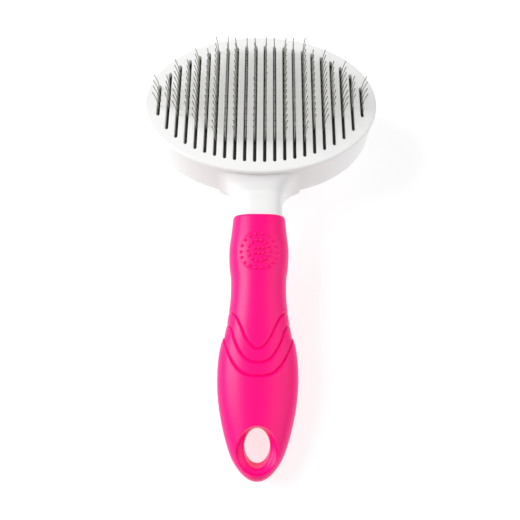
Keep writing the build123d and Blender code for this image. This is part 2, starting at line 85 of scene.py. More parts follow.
soft_light("key_light", (-0.75, 0.12, 0.64), 0.66, 10.5)
soft_light("fill_light", (0.75, -0.1, 0.7), 1.1, 5.0)

WORLD_STRENGTH = 0.34
world = bpy.data.worlds.new("studio")
world.use_nodes = True
backdrop = world.node_tree.nodes["Background"].inputs
backdrop["Color"].default_value = (1, 1, 1, 1)
backdrop["Strength"].default_value = WORLD_STRENGTH
bpy.context.scene.world = world

FLOOR_HALF = 3.0
floor_mesh = bpy.data.meshes.new("floor")
floor_corners = [(-1, -1), (1, -1), (1, 1), (-1, 1)]
floor_points = [(x * FLOOR_HALF, y * FLOOR_HALF, 0) for x, y in floor_corners]
floor_mesh.from_pydata(floor_points, [], [(0, 1, 2, 3)])
floor = bpy.data.objects.new("floor", floor_mesh)
bpy.context.scene.collection.objects.link(floor)


# ------------------------------------------------------------------ materials' shared parts
def add_node(tree, kind, inputs=None, **settings):
    """Adds a node. An input given as a socket is linked, and any other is a value."""
    node = tree.nodes.new(kind)
    for name, value in settings.items():
        setattr(node, name, value)
    for key, value in (inputs or {}).items():
        if isinstance(value, bpy.types.NodeSocket):
            tree.links.new(value, node.inputs[key])
        else:
            node.inputs[key].default_value = value
    return node


def maths(tree, operation, *values, clamp=False):
    """Output of a Math node on up to three values or sockets."""
    inputs = dict(enumerate(values))
    return add_node(tree, "ShaderNodeMath", inputs, operation=operation, use_clamp=clamp).outputs[0]


def moulded_skin():
    """Skin of a moulding: a soft drift of colour and gloss, and a fine spark-eroded grain."""
    group = bpy.data.node_groups.new("moulded skin", "ShaderNodeTree")
    sockets = (
        ("Colour", "NodeSocketColor", (1, 1, 1, 1)),
        ("Drift", "NodeSocketFloat", 0.03),
        ("Roughness", "NodeSocketFloat", 0.4),
        ("Gloss Drift", "NodeSocketFloat", 0.05),
        ("Grain Size", "NodeSocketFloat", 0.3),
        ("Grain Height", "NodeSocketFloat", 0.01),
    )
    for name, kind, value in sockets:
        group.interface.new_socket(name, in_out="INPUT", socket_type=kind).default_value = value
    group.interface.new_socket("Colour", in_out="OUTPUT", socket_type="NodeSocketColor")
    group.interface.new_socket("Roughness", in_out="OUTPUT", socket_type="NodeSocketFloat")
    group.interface.new_socket("Normal", in_out="OUTPUT", socket_type="NodeSocketVector")
    given = add_node(group, "NodeGroupInput").outputs
    place = add_node(group, "ShaderNodeTexCoord").outputs["Object"]
    cloud = add_node(group, "ShaderNodeTexNoise", {"Vector": place, "Scale": 45.0, "Detail": 2.0})
    swing = maths(group, "MULTIPLY_ADD", cloud.outputs["Fac"], 2.0, -1.0)
    drift = maths(group, "MULTIPLY_ADD", swing, given["Drift"], 1.0)
    tint_inputs = {0: given["Colour"], "Scale": drift}
    tint = add_node(group, "ShaderNodeVectorMath", tint_inputs, operation="SCALE")
    gloss = maths(group, "MULTIPLY_ADD", swing, given["Gloss Drift"], given["Roughness"])
    grain_scale = maths(group, "DIVIDE", 1000.0, given["Grain Size"])
    grain_inputs = {"Vector": place, "Scale": grain_scale, "Detail": 3.0}
    grain = add_node(group, "ShaderNodeTexNoise", grain_inputs)
    height = maths(group, "MULTIPLY", given["Grain Height"], MM)
    bump_inputs = {"Height": grain.outputs["Fac"], "Distance": height}
    bump = add_node(group, "ShaderNodeBump", bump_inputs)
    result = {"Colour": tint.outputs[0], "Roughness": gloss, "Normal": bump.outputs["Normal"]}
    add_node(group, "NodeGroupOutput", result)
    return group


SKIN = moulded_skin()


def moulded_material(
    name, colour, drift, roughness, gloss_drift, grain_size, grain_height, **shader
):
    """Material of a moulding, with its skin's values and any further shader inputs."""
    material = bpy.data.materials.new(name)
    material.use_nodes = True
    tree = material.node_tree
    inputs = {
        "Colour": (*colour, 1),
        "Drift": drift,
        "Roughness": roughness,
        "Gloss Drift": gloss_drift,
        "Grain Size": grain_size,
        "Grain Height": grain_height,
    }
    skin = tree.nodes.new("ShaderNodeGroup")
    skin.node_tree = SKIN
    for key, value in inputs.items():
        skin.inputs[key].default_value = value
    bsdf = tree.nodes["Principled BSDF"]
    tree.links.new(skin.outputs["Colour"], bsdf.inputs["Base Color"])
    tree.links.new(skin.outputs["Roughness"], bsdf.inputs["Roughness"])
    tree.links.new(skin.outputs["Normal"], bsdf.inputs["Normal"])
    for key, value in shader.items():
        bsdf.inputs[key.replace("_", " ")].default_value = value
    return material


def dress(node, material):
    """Gives a CAD node its material."""
    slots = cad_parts[node].data.materials
    slots.clear()
    slots.append(material)


pale_table = moulded_material("pale_table", (0.35, 0.35, 0.35), 0.004, 0.8, 0.02, 0.5, 0.004)
TABLE_GLOW = 0.72
table_shader = pale_table.node_tree.nodes["Principled BSDF"].inputs
table_shader["Emission Color"].default_value = (1, 1, 1, 1)
table_shader["Emission Strength"].default_value = TABLE_GLOW
floor_mesh.materials.append(pale_table)

# ------------------------------------------------------------------ head shells
# Two white ABS mouldings, screwed together from behind. The front housing has the oval
# wall that the face plate slides in, and the rear cover has the button's opening. Both
# run on through the neck as the core of the handle, and meet at a fine split line.
white_abs = moulded_material("white_abs", (0.8, 0.8, 0.795), 0.006, 0.3, 0.03, 0.25, 0.004)
GRIP_TIP_Y = -100.0
GRIP_ROUNDNESS = 2.15
GRIP_WALL = 2.4
# y, half width, front z, back z in millimetres
GRIP_STATIONS = (
    (12.0, 11.35, 31.1, 13.3),
    (7.6, 11.75, 30.9, 12.6),
    (2.6, 12.2, 30.7, 11.5),
    (-4.7, 12.95, 30.2, 10.4),
    (-11.9, 12.75, 29.4, 9.6),
    (-18.5, 11.95, 28.6, 9.0),
    (-27.2, 12.0, 27.5, 8.0),
    (-35.7, 12.95, 26.3, 6.7),
    (-42.0, 14.15, 25.4, 5.6),
    (-46.0, 15.6, 24.8, 4.8),
    (-52.3, 16.6, 23.7, 3.5),
    (-60.4, 16.9, 22.4, 1.9),
    (-68.4, 16.35, 21.0, 0.8),
    (-76.2, 15.0, 19.6, 0.2),
    (-84.0, 13.0, 18.1, 0.2),
    (-91.6, 10.1, 16.6, 1.2),
    (-96.0, 7.1, 15.2, 2.8),
    (-98.5, 4.4, 13.3, 4.7),
    (-99.6, 2.3, 11.5, 6.6),
    (GRIP_TIP_Y, 0.0, 9.0, 9.0),
)


def eased(rows, column, at):
    """Value of a column at y = at, on a smooth curve through rows that run down in y."""
    last = len(rows) - 2
    k = 0
    while k < last and rows[k + 1][0] > at:
        k += 1
    before, here = rows[max(k - 1, 0)], rows[k]
    after, beyond = rows[k + 1], rows[min(k + 2, last + 1)]
    span = math.sqrt(here[0] - GRIP_TIP_Y) - math.sqrt(after[0] - GRIP_TIP_Y)
    t = (math.sqrt(here[0] - GRIP_TIP_Y) - math.sqrt(max(at - GRIP_TIP_Y, 0))) / span

    def slope(a, b):
        width = math.sqrt(a[0] - GRIP_TIP_Y) - math.sqrt(b[0] - GRIP_TIP_Y)
        return (b[column] - a[column]) / width * span

    start, end = slope(before, after), slope(here, beyond)
    rise = after[column] - here[column]
    bend = 3 * rise - 2 * start - end + t * (start + end - 2 * rise)
    return here[column] + t * (start + t * bend)


def signed_power(value, power):
    return math.copysign(abs(value) ** power, value)


def grip_point(y, angle, inset):
    """Point of the grip's skin at y and an angle from the front, drawn in by the inset."""
    half_x = max(eased(GRIP_STATIONS, 1, y), 0.0)
    front = eased(GRIP_STATIONS, 2, y)
    back = eased(GRIP_STATIONS, 3, y)
    half_z = max((front - back) / 2, 0.0)
    power = 2 / GRIP_ROUNDNESS
    x = half_x * signed_power(math.sin(angle), power)
    z = half_z * signed_power(math.cos(angle), power)
    across, up = x / max(half_x, 0.1) ** 2, z / max(half_z, 0.1) ** 2
    size = math.hypot(across, up) or 1.0
    return Vector((x - inset * across / size, y, (front + back) / 2 + z - inset * up / size))


def ring_mesh(name, rings, closed_start=None, closed_end=None):
    """Mesh object of stacked rings, each end closed on a point where one is given."""
    mesh = bmesh.new()
    loops = [[mesh.verts.new(point) for point in ring] for ring in rings]
    count = len(rings[0])
    for above, below in zip(loops, loops[1:]):
        for k in range(count):
            after = (k + 1) % count
            mesh.faces.new((above[k], above[after], below[after], below[k]))
    for end, loop in ((closed_start, loops[0]), (closed_end, loops[-1])):
        if end is not None:
            pole = mesh.verts.new(end)
            for k in range(count):
                mesh.faces.new((loop[k], loop[(k + 1) % count], pole))
    bmesh.ops.recalc_face_normals(mesh, faces=mesh.faces)
    data = bpy.data.meshes.new(name)
    mesh.to_mesh(data)
    mesh.free()
    piece = bpy.data.objects.new(name, data)
    bpy.context.scene.collection.objects.link(piece)
    return piece


def settled(piece):
    """Applies a piece's modifiers and returns it as a plain mesh."""
    bpy.context.view_layer.update()
    seen = piece.evaluated_get(bpy.context.evaluated_depsgraph_get())
    mesh = bpy.data.meshes.new_from_object(seen)
    piece.modifiers.clear()
    piece.data = mesh
    return piece


def combined(piece, tool, operation="DIFFERENCE"):
    """Joins, cuts or intersects one closed mesh with another, and removes the tool."""
    boolean = piece.modifiers.new("boolean", "BOOLEAN")
    boolean.operation = operation
    boolean.solver = "EXACT"
    boolean.object = tool
    settled(piece)
    bpy.data.objects.remove(tool)
    return piece


def smoothed(piece, degrees):
    """Smooth shading that keeps edges sharper than the angle."""
    for face in piece.data.polygons:
        face.use_smooth = True
    piece.data.set_sharp_from_angle(angle=math.radians(degrees))
    return piece


plate_low, plate_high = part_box("face_plate")
head = (plate_low + plate_high) / 2
HEAD_Y = head.y / MM
PLATE_PROUD = 2.0  # how far the plate's front stands out of the rim
PLATE_LIP = 0.35  # how far the plate's edge reaches past the rim
RIM_Z = plate_high.z / MM - PLATE_PROUD
RIM_HALF = (
    (plate_high.x - plate_low.x) / 2 / MM - PLATE_LIP,
    (plate_high.y - plate_low.y) / 2 / MM - PLATE_LIP,
)
BACK_Z = 11.5
BACK_ROUND = 7.0
SHELL_WALL = 2.2
SHELL_DRAFT = 0.7
SPLIT_Z = 17.0
SPLIT_GAP = 0.16
NECK_HALF = 10.35
FLARE_ROUND = 12.0
FLARE_Y = 15.95
FLARE_END_Y = 27.5
NECK_END_Y = 33.0
HEAD_SIDES = 160
# y, front z, back z and squareness of the neck's sections, from the head down to the core
NECK_STATIONS = (
    (NECK_END_Y, 35.8, 12.0, 6.0),
    (27.2, 35.8, 12.0, 6.0),
    (25.0, 35.2, 12.1, 5.0),
    (22.5, 33.4, 12.4, 4.0),
    (19.5, 31.7, 12.8, 3.4),
    (15.0, 30.6, 13.2, 3.2),
    (9.0, 30.0, 13.8, 3.2),
)


def oval_ring(half_x, half_y, z, y=HEAD_Y, x=0.0, sides=HEAD_SIDES):
    """Level ring of points round an oval."""
    angles = [2 * math.pi * k / sides for k in range(sides)]
    return [Vector((x + half_x * math.cos(a), y + half_y * math.sin(a), z)) * MM for a in angles]


def oval_prism(name, half_x, half_y, bottom, top, x=0.0, y=HEAD_Y, sides=HEAD_SIDES):
    rings = [oval_ring(half_x, half_y, z, y, x, sides) for z in (bottom, top)]
    return ring_mesh(name, rings, Vector((x, y, bottom)) * MM, Vector((x, y, top)) * MM)


def bowl(name, wall, top):
    """Oval bowl: its back edge rounded, its sides drafted. A wall thickness draws it in."""
    radius = BACK_ROUND - wall
    bottom = BACK_Z + wall
    draft = SHELL_DRAFT if wall == 0 else 0.0
    levels = []
    for turn in range(0, 91, 9):
        lift = math.radians(turn)
        drawn_in = draft + radius * (1 - math.sin(lift))
        levels.append((drawn_in, bottom + radius * (1 - math.cos(lift))))
    levels.append((0.0, top))
    rings = [oval_ring(RIM_HALF[0] - wall - s, RIM_HALF[1] - wall - s, z) for s, z in levels]
    return ring_mesh(name, rings, Vector((0, HEAD_Y, bottom)) * MM, Vector((0, HEAD_Y, top)) * MM)


def neck_half(y):
    """Half width of the neck: straight, then flared on an arc until it meets the oval."""
    over = min(max(y - FLARE_Y, 0.0), FLARE_END_Y - FLARE_Y)
    return NECK_HALF + FLARE_ROUND - math.sqrt(FLARE_ROUND**2 - over**2)


def between(rows, column, y):
    """Value of a column at y, on straight lines between rows that run down in y."""
    for above, below in zip(rows, rows[1:]):
        if above[0] >= y >= below[0]:
            share = (above[0] - y) / (above[0] - below[0])
            return above[column] + share * (below[column] - above[column])
    return rows[-1][column]


def neck_ring(y, angles):
    """Rounded-square section of the neck at y."""
    front, back, square = (between(NECK_STATIONS, column, y) for column in (1, 2, 3))
    ring = []
    for angle in angles:
        x = neck_half(y) * signed_power(math.sin(angle), 2 / square)
        z = (front - back) / 2 * signed_power(math.cos(angle), 2 / square)
        ring.append(Vector((x, y, (front + back) / 2 + z)) * MM)
    return ring


def neck_and_core():
    """The neck from inside the head, and the core that the grip is moulded over."""
    angles = [2 * math.pi * k / HEAD_SIDES for k in range(HEAD_SIDES)]
    neck_ys = [NECK_END_Y, 30.0] + [27.4 - 0.45 * k for k in range(30)] + [12.0, 10.5, 9.0]
    rings = [neck_ring(y, angles) for y in neck_ys]
    core_ys = [4.0 - 5.0 * k for k in range(17)] + [-80.0, -84.0, -88.0, -92.0, -95.0, -96.5]
    for y in core_ys:
        rings.append([grip_point(y, angle, GRIP_WALL + 0.1) * MM for angle in angles])
    top = Vector((0, NECK_END_Y, 24.0)) * MM
    tip = Vector((0, -97.0, 9.3)) * MM
    return ring_mesh("neck_and_core", rings, top, tip)


def front_prism(name, shift):
    """All that lies in front of the split line, with the line moved by the shift in z."""
    middles = []
    for y in (9.0, -12.0, -68.0):
        middles.append((y, (eased(GRIP_STATIONS, 2, y) + eased(GRIP_STATIONS, 3, y)) / 2))
    line = [(130.0, SPLIT_Z), (FLARE_Y, SPLIT_Z), *middles, (-130.0, 9.0)]
    outline = [(y, z + shift) for y, z in line] + [(-130.0, 90.0), (130.0, 90.0)]
    rings = [[Vector((x, y, z)) * MM for y, z in outline] for x in (-80.0, 80.0)]
    return ring_mesh(name, rings, Vector((-80, 0, 50)) * MM, Vector((80, 0, 50)) * MM)


POST_RADIUS = 3.2
BUTTON_OPENING = (26.4, 19.4)
CARRIER_POSTS = (30.8, 11.0)
COVER_SCREWS = (27.0, 24.3)
COUNTERBORE = (2.0, 14.1)
# The core is cut away round the hang hole, where the grip is solid rubber.
CORE_HOLE_Y = -88.1
CORE_HOLE_HALF = (9.0, 12.2)
quarters = [(sx, sy) for sx in (-1, 1) for sy in (-1, 1)]


def whole_shell(name):
    """Head, neck and core in one, hollowed behind the face plate and pierced by the hang hole."""
    body = combined(bowl(name, 0, RIM_Z), neck_and_core(), "UNION")
    combined(body, bowl("cavity", SHELL_WALL, RIM_Z + 1))
    core_hole = oval_prism("core_hole", *CORE_HOLE_HALF, -20.0, 40.0, y=CORE_HOLE_Y)
    return combined(body, core_hole)


def front_shell():
    body = whole_shell("front_housing_shell")
    combined(body, front_prism("front", SPLIT_GAP / 2), "INTERSECT")
    for sx, sy in quarters:
        x, y = sx * COVER_SCREWS[0], HEAD_Y + sy * (COVER_SCREWS[1] + POST_RADIUS)
        ear = oval_prism("ear", POST_RADIUS, 2 * POST_RADIUS, SPLIT_Z, SPLIT_Z + 5.0, x, y, 32)
        inside_half = [half - SHELL_WALL / 2 for half in RIM_HALF]
        combined(ear, oval_prism("inside", *inside_half, SPLIT_Z - 1, SPLIT_Z + 6), "INTERSECT")
        combined(body, ear, "UNION")
    return body


def rear_shell():
    body = combined(whole_shell("rear_cover_shell"), front_prism("front", -SPLIT_GAP / 2))
    floor_middle = BACK_Z + SHELL_WALL / 2
    for (half_x, half_y), top in ((CARRIER_POSTS, 30.2), (COVER_SCREWS, SPLIT_Z - SPLIT_GAP)):
        for sx, sy in quarters:
            x, y = sx * half_x, HEAD_Y + sy * half_y
            post = oval_prism("post", POST_RADIUS, POST_RADIUS, floor_middle, top, x, y, 32)
            combined(body, post, "UNION")
    for sx, sy in quarters:
        x, y = sx * COVER_SCREWS[0], HEAD_Y + sy * COVER_SCREWS[1]
        radius, top = COUNTERBORE
        combined(body, oval_prism("counterbore", radius, radius, 0.0, top, x, y, 32))
    return combined(body, oval_prism("opening", *BUTTON_OPENING, 0.0, BACK_Z + SHELL_WALL + 1))


for shell, node in ((front_shell(), "front_housing"), (rear_shell(), "rear_cover")):
    shell.data.materials.clear()
    shell.data.materials.append(white_abs)
    smoothed(shell, 32)
    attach(shell, "brush")
    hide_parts(node)

# ------------------------------------------------------------------ face plate
# White ABS, slotted for the pins. It slides in the housing's rim on its skirt.
dress("face_plate", white_abs)

# ------------------------------------------------------------------ inner mouldings
# The pin carrier and its backing are dark polypropylene, and show down in the slots.
# The pusher frame is natural acetal, and the button is coloured ABS.
dark_plastic = moulded_material("dark_plastic", (0.1, 0.096, 0.08), 0.05, 0.6, 0.05, 0.3, 0.01)
for name in ("pin_carrier", "pin_backing"):
    dress(name, dark_plastic)
acetal = moulded_material("natural_acetal", (0.7, 0.7, 0.67), 0.02, 0.45, 0.04, 0.3, 0.006)
dress("pusher_frame", acetal)
pink_abs = moulded_material("pink_abs", (0.93, 0.03, 0.25), 0.02, 0.3, 0.03, 0.25, 0.004)
dress("push_button", pink_abs)


# ------------------------------------------------------------------ screws
# Zinc-plated steel. Four hold the pin carrier, four join the two shells, and two hold
# the pusher frame to the button.
def steel_material(name, colour, roughness, streak_height):
    """Drawn or plated steel, with fine scratches that vary its gloss."""
    material = bpy.data.materials.new(name)
    material.use_nodes = True
    tree = material.node_tree
    bsdf = tree.nodes["Principled BSDF"]
    bsdf.inputs["Metallic"].default_value = 1.0
    place = add_node(tree, "ShaderNodeTexCoord").outputs["Object"]
    noise_inputs = {"Vector": place, "Scale": 900.0, "Detail": 3.0}
    scratch = add_node(tree, "ShaderNodeTexNoise", noise_inputs).outputs["Fac"]
    ramp_inputs = {"Value": scratch, "To Min": roughness * 0.8, "To Max": roughness * 1.25}
    gloss = add_node(tree, "ShaderNodeMapRange", ramp_inputs)
    tree.links.new(gloss.outputs["Result"], bsdf.inputs["Roughness"])
    shade = add_node(tree, "ShaderNodeMapRange", {"Value": scratch, "To Min": 0.9, "To Max": 1.05})
    tint_inputs = {0: colour, "Scale": shade.outputs["Result"]}
    tint = add_node(tree, "ShaderNodeVectorMath", tint_inputs, operation="SCALE")
    tree.links.new(tint.outputs[0], bsdf.inputs["Base Color"])
    bump = add_node(tree, "ShaderNodeBump", {"Height": scratch, "Distance": streak_height * MM})
    tree.links.new(bump.outputs["Normal"], bsdf.inputs["Normal"])
    return material


plated_steel = steel_material("plated_steel", (0.62, 0.62, 0.6), 0.32, 0.004)
for name in ("carrier_screws", "cover_screws", "frame_screws"):
    dress(name, plated_steel)

# ------------------------------------------------------------------ pins
# Bent stainless wire staples, two pins each. Their crowns lie under the carrier,
# and each pin leans from its knee towards the handle.
WIRE_RADIUS = 0.22 * MM
ROW_PITCH = 3.23 * MM
ROWS_PER_PAIR = (4, 8, 12, 16, 16, 16, 16, 16, 12, 8, 4)
FIELD_SHIFT = 3.5 * MM
OUTER_SHIFT = 1.5 * MM
KNEE_TO_TIP = 8.5 * MM
KNEE_ANGLE = math.radians(21.0)
SPLAY_ANGLE = math.radians(1.8)
PIN_STRAIGHT = 5.5 * MM

SLOT_PITCH = 4.4 * MM
CROWN_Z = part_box("pin_carrier")[0].z - WIRE_RADIUS
KNEE_RISE = plate_high.z + PIN_STRAIGHT - CROWN_Z
SLOT_MIDDLE_Z = plate_high.z - 1.5 * MM
CROWN_HALF = SLOT_PITCH / 2 - (SLOT_MIDDLE_Z - CROWN_Z) * math.tan(SPLAY_ANGLE)


def staple_places():
    """Middle of each staple's crown."""
    places = []
    pairs = len(ROWS_PER_PAIR)
    for pair, rows in enumerate(ROWS_PER_PAIR):
        x = (pair - (pairs - 1) / 2) * 2 * SLOT_PITCH
        shift = OUTER_SHIFT if pair in (0, pairs - 1) else FIELD_SHIFT
        for row in range(rows):
            y = head.y + shift + (row - (rows - 1) / 2) * ROW_PITCH
            places.append((x, y, CROWN_Z))
    return places


def field_tree():
    """Geometry tree that stands one bent wire staple on each point it is given."""
    tree = bpy.data.node_groups.new("pin field", "GeometryNodeTree")
    sockets = (
        ("Geometry", "NodeSocketGeometry"),
        ("Wire Radius", "NodeSocketFloat"),
        ("Crown Half", "NodeSocketFloat"),
        ("Knee Rise", "NodeSocketFloat"),
        ("Knee To Tip", "NodeSocketFloat"),
        ("Knee Angle", "NodeSocketFloat"),
        ("Splay", "NodeSocketFloat"),
        ("Sway", "NodeSocketFloat"),
        ("Seed", "NodeSocketInt"),
        ("Material", "NodeSocketMaterial"),
    )
    for name, kind in sockets:
        tree.interface.new_socket(name, in_out="INPUT", socket_type=kind)
    tree.interface.new_socket("Geometry", in_out="OUTPUT", socket_type="NodeSocketGeometry")
    given = add_node(tree, "NodeGroupInput").outputs
    leg = maths(tree, "ADD", given["Knee Rise"], given["Knee To Tip"])
    half = maths(tree, "ADD", given["Crown Half"], leg)
    start = add_node(tree, "ShaderNodeCombineXYZ", {"X": maths(tree, "MULTIPLY", half, -1.0)})
    end = add_node(tree, "ShaderNodeCombineXYZ", {"X": half})
    line_inputs = {"Start": start.outputs[0], "End": end.outputs[0]}
    line = add_node(tree, "GeometryNodeCurvePrimitiveLine", line_inputs)
    fine = add_node(tree, "GeometryNodeResampleCurve", {"Curve": line.outputs["Curve"], "Count": 72})
    place = add_node(tree, "GeometryNodeInputPosition").outputs[0]
    along = add_node(tree, "ShaderNodeSeparateXYZ", {0: place}).outputs["X"]
    side = maths(tree, "SIGN", along)
    run = maths(tree, "ABSOLUTE", along)
    past_crown = maths(tree, "SUBTRACT", run, given["Crown Half"])
    rise = maths(tree, "SMOOTH_MAX", past_crown, 0.0, 0.6 * MM)
    past_knee = maths(tree, "SUBTRACT", rise, given["Knee Rise"])
    lean = maths(tree, "SMOOTH_MAX", past_knee, 0.0, 1.2 * MM)
    spread = maths(tree, "MULTIPLY", rise, maths(tree, "TANGENT", given["Splay"]))
    out = maths(tree, "ADD", maths(tree, "MINIMUM", run, given["Crown Half"]), spread)
    forward = maths(tree, "MULTIPLY", lean, maths(tree, "SINE", given["Knee Angle"]))
    drop_share = maths(tree, "SUBTRACT", 1.0, maths(tree, "COSINE", given["Knee Angle"]))
    height = maths(tree, "SUBTRACT", rise, maths(tree, "MULTIPLY", lean, drop_share))
    bent_inputs = {
        "X": maths(tree, "MULTIPLY", side, out),
        "Y": maths(tree, "MULTIPLY", forward, -1.0),
        "Z": height,
    }
    bent = add_node(tree, "ShaderNodeCombineXYZ", bent_inputs)
    shaped_inputs = {"Geometry": fine.outputs["Curve"], "Position": bent.outputs[0]}
    shaped = add_node(tree, "GeometryNodeSetPosition", shaped_inputs)
    rim_inputs = {"Resolution": 8, "Radius": given["Wire Radius"]}
    rim = add_node(tree, "GeometryNodeCurvePrimitiveCircle", rim_inputs)
    wire_inputs = {
        "Curve": shaped.outputs[0],
        "Profile Curve": rim.outputs["Curve"],
        "Fill Caps": True,
    }
    wire = add_node(tree, "GeometryNodeCurveToMesh", wire_inputs)
    most_inputs = {0: (1.0, 1.0, 1.0), "Scale": given["Sway"]}
    most_turn = add_node(tree, "ShaderNodeVectorMath", most_inputs, operation="SCALE")
    least_inputs = {0: most_turn.outputs[0], "Scale": -1.0}
    least_turn = add_node(tree, "ShaderNodeVectorMath", least_inputs, operation="SCALE")
    sway = add_node(tree, "FunctionNodeRandomValue", data_type="FLOAT_VECTOR")
    tree.links.new(least_turn.outputs[0], sway.inputs[0])
    tree.links.new(most_turn.outputs[0], sway.inputs[1])
    tree.links.new(given["Seed"], sway.inputs["Seed"])
    stand_inputs = {
        "Points": given["Geometry"],
        "Instance": wire.outputs["Mesh"],
        "Rotation": sway.outputs[0],
    }
    stand = add_node(tree, "GeometryNodeInstanceOnPoints", stand_inputs)
    solid = add_node(tree, "GeometryNodeRealizeInstances", {0: stand.outputs[0]})
    smooth = add_node(tree, "GeometryNodeSetShadeSmooth", {"Geometry": solid.outputs[0]})
    dressed_inputs = {"Geometry": smooth.outputs[0], "Material": given["Material"]}
    dressed = add_node(tree, "GeometryNodeSetMaterial", dressed_inputs)
    add_node(tree, "NodeGroupOutput", {"Geometry": dressed.outputs[0]})
    return tree


def grown(name, mesh, tree, values):
    """Runs a geometry tree on a mesh and returns the result as a plain mesh object."""
    seedling = bpy.data.objects.new(name + "_base", mesh)
    bpy.context.scene.collection.objects.link(seedling)
    modifier = seedling.modifiers.new("grow", "NODES")
    modifier.node_group = tree
    for item in tree.interface.items_tree:
        if item.in_out == "INPUT" and item.name in values:
            modifier[item.identifier] = values[item.name]
    bpy.context.view_layer.update()
    seen = seedling.evaluated_get(bpy.context.evaluated_depsgraph_get())
    result = bpy.data.meshes.new_from_object(seen)
    bpy.data.objects.remove(seedling)
    result.name = name
    piece = bpy.data.objects.new(name, result)
    bpy.context.scene.collection.objects.link(piece)
    return piece


wire_steel = steel_material("pin_wire_steel", (0.42, 0.41, 0.35), 0.2, 0.002)
places_mesh = bpy.data.meshes.new("staple_places")
places_mesh.from_pydata(staple_places(), [], [])
pin_values = {
    "Wire Radius": WIRE_RADIUS,
    "Crown Half": CROWN_HALF,
    "Knee Rise": KNEE_RISE,
    "Knee To Tip": KNEE_TO_TIP,
    "Knee Angle": KNEE_ANGLE,
    "Splay": SPLAY_ANGLE,
    "Sway": math.radians(0.5),
    "Seed": 7,
    "Material": wire_steel,
}
pins = grown("pins", places_mesh, field_tree(), pin_values)
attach(pins, "brush")
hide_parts(*[f"pin_staples_{pair + 1:02d}" for pair in range(len(ROWS_PER_PAIR))])

# ------------------------------------------------------------------ return springs
# Two open coils of hard-drawn wire with closed ends. They stand in the button's seats
# and push against the backing plate, so they shorten as the button goes in.
SPRING_RADIUS = 4.0 * MM
SPRING_WIRE = 0.45 * MM
SPRING_TURNS = 8.0
END_CLOSING = 0.7  # how far the end turns close up, from 0 to 1


def spring_tree():
    """Geometry tree that stands one coil spring on each point it is given."""
    tree = bpy.data.node_groups.new("return spring", "GeometryNodeTree")
    sockets = (
        ("Geometry", "NodeSocketGeometry"),
        ("Coil Radius", "NodeSocketFloat"),
        ("Wire Radius", "NodeSocketFloat"),
        ("Turns", "NodeSocketFloat"),
        ("Length", "NodeSocketFloat"),
        ("End Closing", "NodeSocketFloat"),
        ("Material", "NodeSocketMaterial"),
    )
    for name, kind in sockets:
        tree.interface.new_socket(name, in_out="INPUT", socket_type=kind)
    tree.interface.new_socket("Geometry", in_out="OUTPUT", socket_type="NodeSocketGeometry")
    given = add_node(tree, "NodeGroupInput").outputs
    coil_inputs = {
        "Resolution": 40,
        "Rotations": given["Turns"],
        "Start Radius": given["Coil Radius"],
        "End Radius": given["Coil Radius"],
        "Height": given["Length"],
    }
    coil = add_node(tree, "GeometryNodeCurveSpiral", coil_inputs)
    place = add_node(tree, "GeometryNodeInputPosition").outputs[0]
    axes = add_node(tree, "ShaderNodeSeparateXYZ", {0: place}).outputs
    share = maths(tree, "DIVIDE", axes["Z"], given["Length"])
    square = maths(tree, "MULTIPLY", share, share)
    steep = maths(tree, "MULTIPLY_ADD", share, -2.0, 3.0)
    eased_share = maths(tree, "MULTIPLY", square, steep)
    change = maths(tree, "SUBTRACT", eased_share, share)
    closed_share = maths(tree, "MULTIPLY_ADD", change, given["End Closing"], share)
    closed_place_inputs = {
        "X": axes["X"],
        "Y": axes["Y"],
        "Z": maths(tree, "MULTIPLY", closed_share, given["Length"]),
    }
    closed_place = add_node(tree, "ShaderNodeCombineXYZ", closed_place_inputs)
    shaped_inputs = {"Geometry": coil.outputs[0], "Position": closed_place.outputs[0]}
    shaped = add_node(tree, "GeometryNodeSetPosition", shaped_inputs)
    rim_inputs = {"Resolution": 12, "Radius": given["Wire Radius"]}
    rim = add_node(tree, "GeometryNodeCurvePrimitiveCircle", rim_inputs)
    wire_inputs = {
        "Curve": shaped.outputs[0],
        "Profile Curve": rim.outputs["Curve"],
        "Fill Caps": True,
    }
    wire = add_node(tree, "GeometryNodeCurveToMesh", wire_inputs)
    stand_inputs = {"Points": given["Geometry"], "Instance": wire.outputs["Mesh"]}
    stand = add_node(tree, "GeometryNodeInstanceOnPoints", stand_inputs)
    solid = add_node(tree, "GeometryNodeRealizeInstances", {0: stand.outputs[0]})
    smooth = add_node(tree, "GeometryNodeSetShadeSmooth", {"Geometry": solid.outputs[0]})
    dressed_inputs = {"Geometry": smooth.outputs[0], "Material": given["Material"]}
    dressed = add_node(tree, "GeometryNodeSetMaterial", dressed_inputs)
    add_node(tree, "NodeGroupOutput", {"Geometry": dressed.outputs[0]})
    return tree


spring_steel = steel_material("spring_steel", (0.4, 0.4, 0.4), 0.3, 0.003)
coil_tree = spring_tree()
for side in ("left", "right"):
    spring_low, spring_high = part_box("return_spring_" + side)
    foot = (spring_low + spring_high) / 2
    foot.z = spring_low.z + SPRING_WIRE
    foot_mesh = bpy.data.meshes.new("spring_foot")
    foot_mesh.from_pydata([foot], [], [])
    length = spring_high.z - spring_low.z - 2 * SPRING_WIRE
    spring_values = {
        "Coil Radius": SPRING_RADIUS,
        "Wire Radius": SPRING_WIRE,
        "Turns": SPRING_TURNS,
        "Length": length,
        "End Closing": END_CLOSING,
        "Material": spring_steel,
    }
    coil = grown("return_spring_coil_" + side, foot_mesh, coil_tree, spring_values)
    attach(coil, "brush")
    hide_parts("return_spring_" + side)
    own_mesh(coil)

# ------------------------------------------------------------------ grip
# Pink soft rubber moulded over the handle's core. The thumb rests on a dished pad
# of raised dots, and three wave-shaped grooves mark where the palm swell begins.
GRIP_TOP_Y = 8.2
GRIP_TOP_RISE = 1.7
RIM_ROUND = 0.8
GRIP_SIDES = 224
